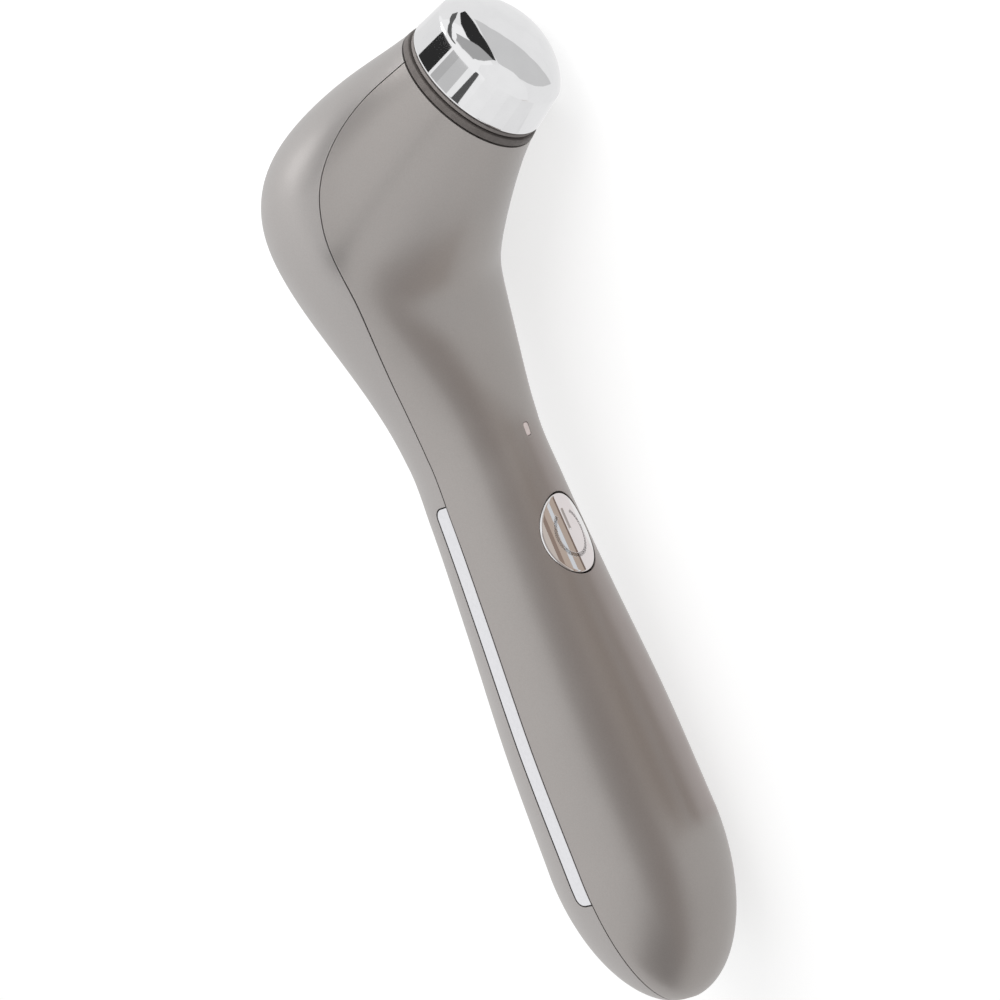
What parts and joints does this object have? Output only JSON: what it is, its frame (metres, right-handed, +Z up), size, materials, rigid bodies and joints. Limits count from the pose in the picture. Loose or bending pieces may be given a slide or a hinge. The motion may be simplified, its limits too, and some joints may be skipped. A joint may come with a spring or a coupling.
{
  "type": "cooling facial massager",
  "caption": "Hand-held cooling facial massager: a bent two-part body with bright side strips, a press button, a charging inlet and a metal cold head on an inner cooling stack.",
  "frame": {"origin": "centre of the bounding box's bottom face, on the table the massager lies on", "axes": "+X along the handle from the tail to the head, +Y away from the button side, +Z up from the table"},
  "size_m": [0.176, 0.0578, 0.0485],
  "materials": {
    "front_paint": "satin pearl paint over moulded plastic, warm taupe grey",
    "rear_paint": "satin pearl paint over moulded plastic, lighter grey",
    "mirror_metal": "mirror polished",
    "strip_metal": "bright polished trim",
    "trim": "dark matt",
    "seal": "soft matt lip",
    "black_plastic": "matt",
    "frame_plastic": "natural moulded",
    "lens": "milky light pipe",
    "aluminium": "as machined",
    "ceramic": "white, matt",
    "thermal_pad": "soft filled silicone",
    "board": "green solder mask",
    "cell_wrap": "shrink wrap",
    "foam": "soft, matt",
    "steel": "plain",
    "white_plastic": "matt",
    "red_lead": "red insulation",
    "black_lead": "black insulation"
  },
  "bodies": {
    "housing": {"rear_shell": "rear_paint", "front_shell": "front_paint", "side_strip_left": "strip_metal", "side_strip_right": "strip_metal", "head_trim_ring": "trim", "head_seal": "seal", "massage_head": "mirror_metal", "thermal_pad": "thermal_pad", "thermoelectric_module": "ceramic", "heat_sink": "aluminium", "head_carrier": "black_plastic", "thermistor": "black_plastic", "switch_body": "black_plastic", "indicator_lens": "lens", "indicator_led": "white_plastic", "main_board": "board", "control_chip": "black_plastic", "cell": "cell_wrap", "cell_tab_tail": "steel", "cell_tab_head": "steel", "cell_pad": "foam", "inner_frame": "frame_plastic", "frame_screw_1": "steel", "frame_screw_2": "steel", "board_screw_1": "steel", "board_screw_2": "steel", "motor_can": "steel", "motor_sleeve": "foam", "charge_board": "board", "receptacle_shell": "steel", "receptacle_tongue": "black_plastic", "module_lead_red": "red_lead", "module_lead_black": "black_lead", "thermistor_lead": "white_plastic", "motor_lead_red": "red_lead", "motor_lead_black": "black_lead", "cell_lead_red": "red_lead", "cell_lead_black": "black_lead", "charge_lead_red": "red_lead", "charge_lead_black": "black_lead"},
    "button": {"power_button": "mirror_metal", "switch_plunger": "white_plastic"},
    "rotor": {"motor_rotor": "steel"}
  },
  "joints": [
    {"name": "button_press", "type": "slide", "parent": "housing", "child": "button", "axis": [-0.0099, 0.9234, 0.3838], "range_m": [0, 0.0005], "stiffness_N_per_m": 1500, "springref_m": -0.001},
    {"name": "rotor_spin", "type": "hinge", "parent": "housing", "child": "rotor", "pos_m": [0.04125, 0.01436, 0.0245], "axis": [0.9987, -0.0099, 0.0497], "continuous": true}
  ]
}
